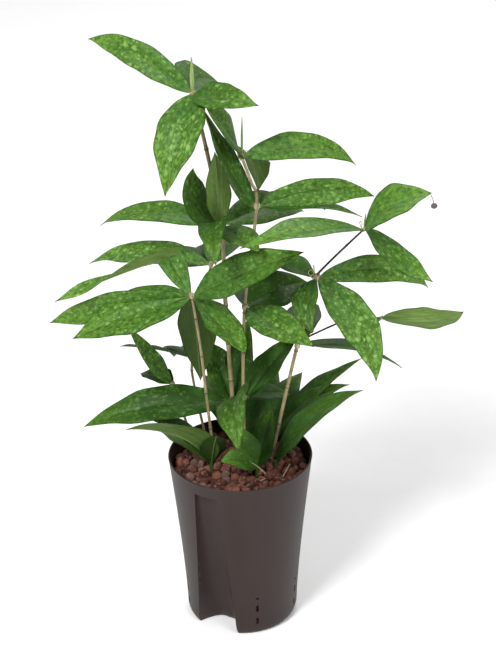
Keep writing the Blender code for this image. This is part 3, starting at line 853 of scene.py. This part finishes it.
def blade(mould, base, values, draw, look, first=0.0, last=1.0, twist=0.0):
    """An arched blade with two pillowed halves, a waved edge and a sunk midrib; first and last
    are the shares of the whole leaf that it covers."""
    turn, rise, length, droop, width, roll, swing = values
    place = base.copy()
    spine = [(place.copy(), heading(turn, rise), turn)]
    for i in range(SPINE_STEPS):
        share = (i + 0.5) / SPINE_STEPS
        course = turn + swing * share
        way = heading(course, rise - droop * share ** DROOP_POWER)
        place += way * length * (last - first) * MM / SPINE_STEPS
        spine.append((place.copy(), way, course))
    fold = radians(LEAF_FOLD)
    waves = []
    for side in range(2):
        waves.append((draw.uniform(*WAVE_COUNT), draw.uniform(0, tau), draw.uniform(*WAVE_SIZE)))
    offset = draw.uniform(0, 50)
    sheets = ([], [])
    for row in range(LEAF_ROWS + 1):
        share = 0.5 - 0.5 * cos(pi * row / LEAF_ROWS)
        i = min(int(share * SPINE_STEPS), SPINE_STEPS - 1)
        between = share * SPINE_STEPS - i
        centre = spine[i][0].lerp(spine[i + 1][0], between)
        way = spine[i][1].lerp(spine[i + 1][1], between).normalized()
        course = spine[i][2] + (spine[i + 1][2] - spine[i][2]) * between
        flat = heading(course + 90)
        upright = way.cross(flat)
        tilt = radians(roll + twist * share ** 3)
        across = flat * cos(tilt) + upright * sin(tilt)
        above = upright * cos(tilt) - flat * sin(tilt)
        whole = first + (last - first) * share
        half = blade_width(whole, width) / 2
        body = min(1.0, half / (0.3 * width))
        for sheet in sheets:
            sheet.append([])
        for column in LEAF_COLUMNS:
            count, phase, size = waves[0 if column > 0 else 1]
            out = abs(column)
            lift = half * sin(fold) * (sqrt(out * out + 0.004) - 0.063)
            lift += half * PILLOW * (out - out * out) - half * EDGE_DROP * out ** 4
            lift += size * body * out ** WAVE_POWER * sin(tau * count * whole + phase)
            lift -= MIDRIB_DEPTH * body * exp(-(column / MIDRIB_WIDTH) ** 2)
            ripple = 1 + RIPPLE * sin(tau * RIPPLE_PACE * count * whole + 2 * phase)
            spot = centre + across * half * MM * column * cos(fold) * ripple
            thick = LEAF_THICKNESS * (1 - EDGE_THINNING * out ** 3)
            thick *= 1.0 + 1.4 * (1 - body) * (whole < 0.3)
            marks = {
                "leaf_side": column * half / 10, "leaf_reach": whole * length / 10 + offset,
                "leaf_share": whole, "leaf_edge": out if body > 0.3 else 0.0,
                "leaf_tone": look[0], "leaf_dust": look[1],
            }
            rib = RIB_HEIGHT * body * exp(-(column / RIB_WIDTH) ** 2)
            for sheet, level in zip(sheets, (thick / 2, -thick / 2 - rib)):
                sheet[-1].append(mould.point(spot + above * (lift + level) * MM, **marks))
    upper, under = sheets
    mould.rings([row[::-1] for row in upper], UPPER, closed=False)
    mould.rings(under, UNDER, closed=False)
    for row in range(LEAF_ROWS):
        for end in (0, -1):
            corners = (upper[row][end], upper[row + 1][end], under[row + 1][end], under[row][end])
            mould.face(corners if end else corners[::-1], UPPER)
    mould.face([*under[0], *upper[0][::-1]][::-1], UPPER)
    mould.face([*under[-1], *upper[-1][::-1]], UPPER)
    return upper


def leaf(mould, base, values, look, draw):
    """A leaf as one blade, or as two that meet at the fold where it is folded over."""
    values, rest = values[:7], values[7:]
    look = (look[0] + draw.uniform(-TONE_SPREAD, TONE_SPREAD), look[1])
    if not rest:
        return blade(mould, base, values, draw, look)
    share, turn, rise, droop, roll, twist = rest
    rows = blade(mould, base, values, draw, look, 0.0, share)
    middle = Vector(mould.points[rows[-1][len(LEAF_COLUMNS) // 2]])
    corner = Vector(mould.points[rows[-1][0]])
    start = middle.lerp(corner, FOLD_SHIFT) - heading(*values[:2]) * FOLD_OVERLAP * MM
    values = (turn, rise, values[2], droop, values[4], roll, 0)
    return blade(mould, start, values, draw, look, share, 1.0, twist)


def rolled_leaf(mould, base, values, draw):
    """A new leaf still rolled into a spike, its loose edge winding round it."""
    turn, rise, length, girth = values
    way = heading(turn, rise)
    steps = 24
    line = [base + way * length * MM * (i / steps) for i in range(steps + 1)]

    def radius(i, angle):
        share = i / steps
        full = girth * sin(pi * min(1, share * 0.75 + 0.22)) ** 0.8 * (1 - 0.25 * share) + 0.12
        lap = (angle / tau + share * 0.8) % 1.0
        return full * (0.86 + 0.22 * lap) * MM

    marks = tube_marks(draw.uniform(0.2, 0.9), 1.0, length / steps / 10, 0.0, 1 / steps)
    tube(mould, line, radius, 18, YOUNG, marks)


def sheath(mould, centre, along, stem, draw, length):
    """The dry bases of old leaves round a joint, torn along the top and standing off the cane."""
    steps = 9
    line = [centre + along * length * MM * (i / steps - SHEATH_SINK) for i in range(steps + 1)]
    tears = [(draw.uniform(2, 4), draw.uniform(0, tau)) for tear in range(2)]

    def radius(i, angle):
        share = i / steps
        flare = 0.3 + 0.5 * sin(pi * min(1, 0.15 + share * 0.75)) + 0.3 * share ** 3
        ragged = sum(sin(angle * round(count) + phase) for count, phase in tears)
        return stem + (flare + 0.22 * ragged * share) * MM

    marks = tube_marks(draw.uniform(0.1, 0.9), 1.5, length / steps / 10, 0.0, 1 / steps)
    tube(mould, line, radius, 20, PAPERY, marks)


def dry_curl(mould, base, turn, height, draw):
    """A loop of dry sheath: up, over and back down on itself."""
    steps = 22
    out = heading(turn)
    sway = heading(turn + 90) * draw.uniform(-0.3, 0.3)
    line, radii = [], []
    for i in range(steps + 1):
        share = i / steps
        angle = radians(-90 + 300 * share)
        aside = out * (0.5 + 0.32 * cos(angle)) * height * MM * (0.4 + 0.6 * min(1, 3 * share))
        up = Vector((0, 0, height * (0.5 + 0.5 * sin(angle)) * MM))
        line.append(base + aside + up + sway * height * share * MM)
        radii.append((CURL_RADIUS - 0.3 * share + 0.08 * sin(17 * share)) * MM)
    marks = tube_marks(draw.random(), 0.5, height / steps / 10, 0.2, 0.5 / steps)
    tube(mould, line, radii, 8, PAPERY, marks)


def dried_flower(mould, rows):
    """A withered flower head on a thread from the edge of a leaf, just short of its tip."""
    start = Vector(mould.points[rows[-4][0]])
    inner = Vector(mould.points[rows[-4][3]])
    side = (start - inner).normalized()
    end = start + (side * 2.0 + Vector(FLOWER_HANG)) * MM
    thread = smooth_line([inner, start, start.lerp(end, 0.6) + Vector((0.6 * MM, 0, 0)), end])
    marks = tube_marks(0.3, 1.0, 0.05, 2.0)
    tube(mould, thread, [THREAD_RADIUS * MM] * len(thread), 8, PAPERY, marks)
    rings = 16
    down = Vector((0.2, 0, -1))
    head = [end + down * (i / rings * FLOWER_LENGTH - 0.4) * MM for i in range(rings + 1)]

    def radius(i, angle):
        bulge = 0.25 + FLOWER_RADIUS * sin(pi * min(1, i / rings + 0.02)) ** 0.6
        return bulge * (1 + 0.12 * sin(5 * angle + i) + 0.08 * sin(9 * angle - 2 * i)) * MM

    tube(mould, head, radius, 24, PAPERY, marks)


def whorl(name, finishes):
    """The leaves round one joint of a cane, with its dry sheath and what else grows there."""
    cane_name, index, leaves = WHORLS[name]
    draw = Random(name)
    points = cane_points(cane_name)
    if cane_name not in BROWN_CANES:
        index += 1
    centre = points[index]
    along = (points[min(index + 1, len(points) - 1)] - points[index - 1]).normalized()
    stem = cane_radius(cane_name, index / (len(points) - 1)) * RING_SWELL
    if index == len(points) - 1:
        root = centre + along * (COLLAR_HEIGHT / 2 + COLLAR_PLAY) * MM
        reach = 0.4 * (stem + (COLLAR_PLAY + COLLAR_WALL) * MM)
    else:
        root, reach = centre, stem + (COLLAR_PLAY + COLLAR_WALL * 0.45) * MM
    mould = Mould()
    rows = []
    for tone, dust, *values in leaves:
        rows.append(leaf(mould, root + heading(values[0]) * reach, values, (tone, dust), draw))
    sheath(mould, root, along, stem, draw, SHEATHS.get(name, SHEATH_LENGTH))
    for turn, height in DRY_CURLS.get(name, []):
        dry_curl(mould, root + heading(turn) * stem, turn, height, draw)
    if name in DRIED_FLOWERS:
        dried_flower(mould, rows[DRIED_FLOWERS[name]])
    if name in BUDS:
        rolled_leaf(mould, root + heading(BUDS[name][0]) * reach, BUDS[name], draw)
    place_piece(mould.cast(name + "_leaves", finishes), "leaf_green", name)


def shoot(name, finishes):
    """A short green stalk in the granules, with its leaves."""
    draw = Random(name)
    stand, leaves = SHOOTS[name]
    foot = Vector((*stand, FILL_HEIGHT)) * MM
    top = Vector((foot.x, foot.y, SHOOT_TOP * MM))
    mould = Mould()
    steps = 14
    line = [(foot - Vector((0, 0, BURIED * MM))).lerp(top, i / steps) for i in range(steps + 1)]
    radii = [SHOOT_RADIUS * MM * (1 - 0.2 * (i / steps) ** 3) for i in range(steps + 1)]
    # The stalk gets a dark tone, painted shade for the dark gap among the leaves at its foot
    tube(mould, line, radii, 18, UNDER, tube_marks(0.1, 1.6, 0.4, 0.2))
    root = top - Vector((0, 0, 3 * MM))
    for tone, dust, *values in leaves:
        start = root + heading(values[0]) * SHOOT_RADIUS * 0.3 * MM
        leaf(mould, start, values, (tone, dust), draw)
    place_piece(mould.cast(name + "_leaves", finishes), "leaf_green", name)


# Pot

def wall_radius(height):
    """Outer radius of the pot at a height, with its rounded foot."""
    if height < FOOT_CURVE_HEIGHT:
        climb = acos(1 - height / FOOT_CURVE_HEIGHT)
        return FLAT_RADIUS + (LOW_RADIUS - FLAT_RADIUS) * sin(climb)
    share = (height - FOOT_CURVE_HEIGHT) / (POT_HEIGHT - FOOT_CURVE_HEIGHT)
    return LOW_RADIUS + (RIM_RADIUS - LOW_RADIUS) * share ** FLARE_POWER


def gauge_hollow(height, share):
    """How far the hollow for the water gauge goes in, at a height and a share of its half width."""
    down = 1 - height / GAUGE_TOP
    depth = GAUGE_TOP_SIZE[1] + (GAUGE_FOOT_SIZE[1] - GAUGE_TOP_SIZE[1]) * down
    ledge = min(1.0, max(0.0, (GAUGE_TOP + 0.3 - height) / 1.1))
    squareness, softness, brow = 3.6, 0.35, 0.6
    return depth * (1 - min(1.0, share) ** squareness) ** softness * ledge ** brow


def wall_ring(height, inset):
    """Points of the wall at a height, closer together across the gauge hollow."""
    face = wall_radius(height)
    down = 1 - min(height, GAUGE_TOP) / GAUGE_TOP
    half = (GAUGE_TOP_SIZE[0] + (GAUGE_FOOT_SIZE[0] - GAUGE_TOP_SIZE[0]) * down) / 2
    edge = asin(half / face)
    ring = []
    for share in [-value for value in GAUGE_SHARES[:0:-1]] + list(GAUGE_SHARES):
        ring.append((share * edge, face - gauge_hollow(height, abs(share))))
    for i in range(1, POT_SIDES):
        ring.append((edge + (tau - 2 * edge) * i / POT_SIDES, face))
    points = []
    for turn, radius in ring:
        out = heading(GAUGE_DIRECTION + degrees(turn))
        points.append(out * (radius - inset) * MM + Vector((0, 0, height * MM)))
    return points


def rounded_slit(turn, low, high):
    """A cutter with round ends for one water slit."""
    out, side = heading(turn), heading(turn + 90)
    half = SLIT_WIDTH / 2
    outline = []
    for end, start in ((high - half, 0), (low + half, 180)):
        for i in range(7):
            angle = radians(start + 180 * i / 6)
            outline.append((cos(angle) * half, end + sin(angle) * half))
    mould = Mould()
    rings = []
    for depth in SLIT_CUT:
        start = out * (LOW_RADIUS + depth)
        rings.append([mould.point((start + side * x + Vector((0, 0, z))) * MM) for x, z in outline])
    mould.solid(rings)
    return mould.cast("slit_cutter", [])


def culture_pot(plastic):
    """One closed wall, up the outside, over the lip and down the inside, with the slits cut."""
    climb = GAUGE_TOP - 2 - FOOT_LEVELS[-1]
    heights = [FOOT_LEVELS[-1] + climb * i / WALL_LEVELS for i in range(1, WALL_LEVELS + 1)]
    heights = [*FOOT_LEVELS, *heights, *LEDGE_LEVELS]
    inner = [height for height in heights[::-1] if height > POT_FLOOR + 4]
    levels = [(height, 0) for height in heights] + list(LIP)
    levels += [(height, POT_WALL) for height in (*inner, *INNER_LEVELS)]
    mould = Mould()
    rings = [[mould.point(place) for place in wall_ring(*level)] for level in levels]
    mould.solid(rings)
    pot = mould.cast("culture_pot_moulded", [plastic], POT_CREASE)
    group = bpy.data.collections.new("slit_cutters")
    bpy.context.scene.collection.children.link(group)
    for column in range(SLIT_COLUMNS):
        for low, high in SLIT_SPANS:
            cutter = rounded_slit(GAUGE_DIRECTION + SLIT_FIRST + SLIT_STEP * column, low, high)
            bpy.context.scene.collection.objects.unlink(cutter)
            group.objects.link(cutter)
    cut = pot.modifiers.new("slits", "BOOLEAN")
    cut.operand_type = "COLLECTION"
    cut.collection = group
    cut.solver = "EXACT"
    graph = bpy.context.evaluated_depsgraph_get()
    mesh = bpy.data.meshes.new_from_object(pot.evaluated_get(graph))
    pot.modifiers.clear()
    pot.data = mesh
    for cutter in list(group.objects):
        bpy.data.objects.remove(cutter, do_unlink=True)
    bpy.data.collections.remove(group)
    pot.data.shade_smooth()
    pot.data.set_sharp_from_angle(angle=radians(POT_CREASE))
    place_piece(pot, "brown_grey_plastic", "culture_pot")


# Granules

def granule(mould, centre, size, draw):
    """One burst clay granule: a lumpy pebble, flattened one way."""
    shell = bmesh.new()
    bmesh.ops.create_icosphere(shell, subdivisions=3, radius=1.0)
    shift = Vector([draw.uniform(-50, 50) for axis in range(3)])
    flat = heading(draw.uniform(0, 360), draw.uniform(-90, 90))
    press = draw.uniform(*GRANULE_PRESS)
    tone = draw.random()
    start = len(mould.points)
    for point in shell.verts:
        way = point.co.copy()
        lumps = sum(depth * noise.noise(way * close + shift) for close, depth in GRANULE_LUMPS)
        reach = way * (1 + lumps)
        reach -= flat * reach.dot(flat) * press
        mould.point(centre + reach * size * MM, granule_tone=tone)
    for face in shell.faces:
        mould.face([start + point.index for point in face.verts])
    shell.free()


def in_gauge(place, size):
    """Whether a granule would stand in the gauge hollow's liner."""
    inwards = wall_radius(FILL_HEIGHT) - place.dot(heading(GAUGE_DIRECTION))
    aside = abs(place.dot(heading(GAUGE_DIRECTION + 90)))
    return inwards < GAUGE_TOP_SIZE[1] + size + 1 and aside < GAUGE_TOP_SIZE[0] / 2 + size * 0.7


def clay_granules(clay):
    """A bed that fills the pot, topped with rings of single granules."""
    draw = Random(21)
    mould = Mould()
    edge = wall_radius(FILL_HEIGHT) - POT_WALL - GRANULE_GAP
    rows = int(edge / GRANULE_SPACING) + 1
    for ring in range(rows + 1):
        radius = (edge - EDGE_INSET) * ring / rows
        count = max(1, round(tau * radius / GRANULE_SPACING))
        start = draw.uniform(0, 360)
        for i in range(count):
            size = draw.uniform(*GRANULE_SIZE)
            turn = start + 360 * (i + draw.uniform(-0.2, 0.2)) / count
            reach = min(radius + draw.uniform(-GRANULE_JITTER, GRANULE_JITTER), edge - size * 1.05)
            if in_gauge(heading(turn) * reach, size):
                continue
            level = FILL_HEIGHT - size * 0.2 + draw.uniform(*GRANULE_LEVELS)
            granule(mould, (heading(turn) * reach + Vector((0, 0, level))) * MM, size, draw)
    bed = []
    for height, share in GRANULE_BED:
        ring = wall_ring(height, POT_WALL + BED_GAP)
        centre = Vector((0, 0, height * MM))
        # The bed takes the darkest clay tone: painted shade in the gaps between the granules and behind
        # the slits
        bed.append([mould.point(centre.lerp(place, share), granule_tone=0.0) for place in ring])
    mould.solid(bed)
    place_piece(mould.cast("clay_granules_heap", [clay], GRANULE_CREASE), "baked_clay", "clay_granules")


def dry_stalks(finishes):
    """Bare stalks of lost leaves, still standing in the granules."""
    draw = Random(8)
    mould = Mould()
    for foot, turn, rise, length in DRY_STALKS:
        start = Vector((*foot, FILL_HEIGHT - 6)) * MM
        points = [start + heading(turn + 5 * i, rise - 3 * i) * length * MM * i / 4 for i in range(5)]
        line = smooth_line(points)
        count = len(line)
        radii = [(STALK_RADIUS - 0.5 * i / count) * MM for i in range(count)]
        marks = tube_marks(draw.random(), 1.0, length / 10 / count, 1.0, 0.4 / count)
        tube(mould, line, radii, 10, PAPERY, marks)
    place_piece(mould.cast("dry_stalks", finishes), "leaf_green")


# Studio

def floor():
    mould = Mould()
    sides = [-FLOOR_REACH, -FLOOR_REACH / 3, FLOOR_REACH / 3, FLOOR_REACH]
    rings = [[mould.point((x, y, 0.0)) for x in sides] for y in sides]
    mould.rings(rings, closed=False)
    finish = Finish("pale_floor", roughness=0.9)
    grain = finish.cloud(finish.position(), 40.0, 3.0)
    tint = finish.mix(grain, paint(246, 246, 246), paint(250, 250, 250))
    piece = mould.cast("floor", [finish.coat(base_color=tint)])


def studio():
    floor()
    for name, (place, target, size, power) in LIGHTS.items():
        lamp = bpy.data.lights.new(name, "AREA")
        lamp.shape = "DISK"
        lamp.size = size
        lamp.energy = power
        holder = new_object(name, lamp)
        holder.location = place
        holder.rotation_euler = (Vector(target) - Vector(place)).to_track_quat("-Z", "Y").to_euler()
    world = bpy.data.worlds.new("studio_air")
    bpy.context.scene.world = world
    world.use_nodes = True
    air = world.node_tree.nodes["Background"]
    air.inputs["Color"].default_value = (1.0, 1.0, 1.0, 1.0)
    air.inputs["Strength"].default_value = AIR_STRENGTH
    bpy.context.scene.view_settings.view_transform = "Standard"


def camera():
    """Stands straight in front, well above the rim, with a long lens."""
    eye = heading(-90, CAMERA_RISE) * CAMERA_DISTANCE + Vector((0, 0, POT_HEIGHT * MM))
    pan, tilt, roll = map(radians, CAMERA_TURN)
    ahead = Vector((sin(pan) * cos(tilt), cos(pan) * cos(tilt), -sin(tilt)))
    right = ahead.cross(Vector((0, 0, 1))).normalized()
    up = right.cross(ahead)
    sideways = right * cos(roll) + up * sin(roll)
    upwards = up * cos(roll) - right * sin(roll)
    lens = bpy.data.cameras.new("camera")
    lens.sensor_fit = "VERTICAL"
    lens.sensor_height = SENSOR
    lens.lens = SENSOR * FOCAL_PIXELS / PHOTO_HEIGHT
    lens.clip_end = 30
    holder = new_object("camera", lens)
    turned = Matrix((sideways, upwards, -ahead)).transposed().to_4x4()
    holder.matrix_world = Matrix.Translation(eye) @ turned
    bpy.context.scene.camera = holder


leaf_finishes = [leaf_upper(), leaf_under(), young_green(), papery_sheath()]
tan_bark = cane_bark("tan_cane_bark", paint(158, 146, 108), paint(118, 104, 74), paint(62, 50, 36))
brown_bark = cane_bark("brown_branch_bark", paint(60, 46, 40), paint(32, 25, 22), paint(26, 20, 18))

culture_pot(moulded_plastic())
clay_granules(baked_clay())
dry_stalks(leaf_finishes)
for cane_name in CANES:
    cane(cane_name, brown_bark if cane_name in BROWN_CANES else tan_bark)
for whorl_name in WHORLS:
    whorl(whorl_name, leaf_finishes)
for shoot_name in SHOOTS:
    shoot(shoot_name, leaf_finishes)
studio()
camera()
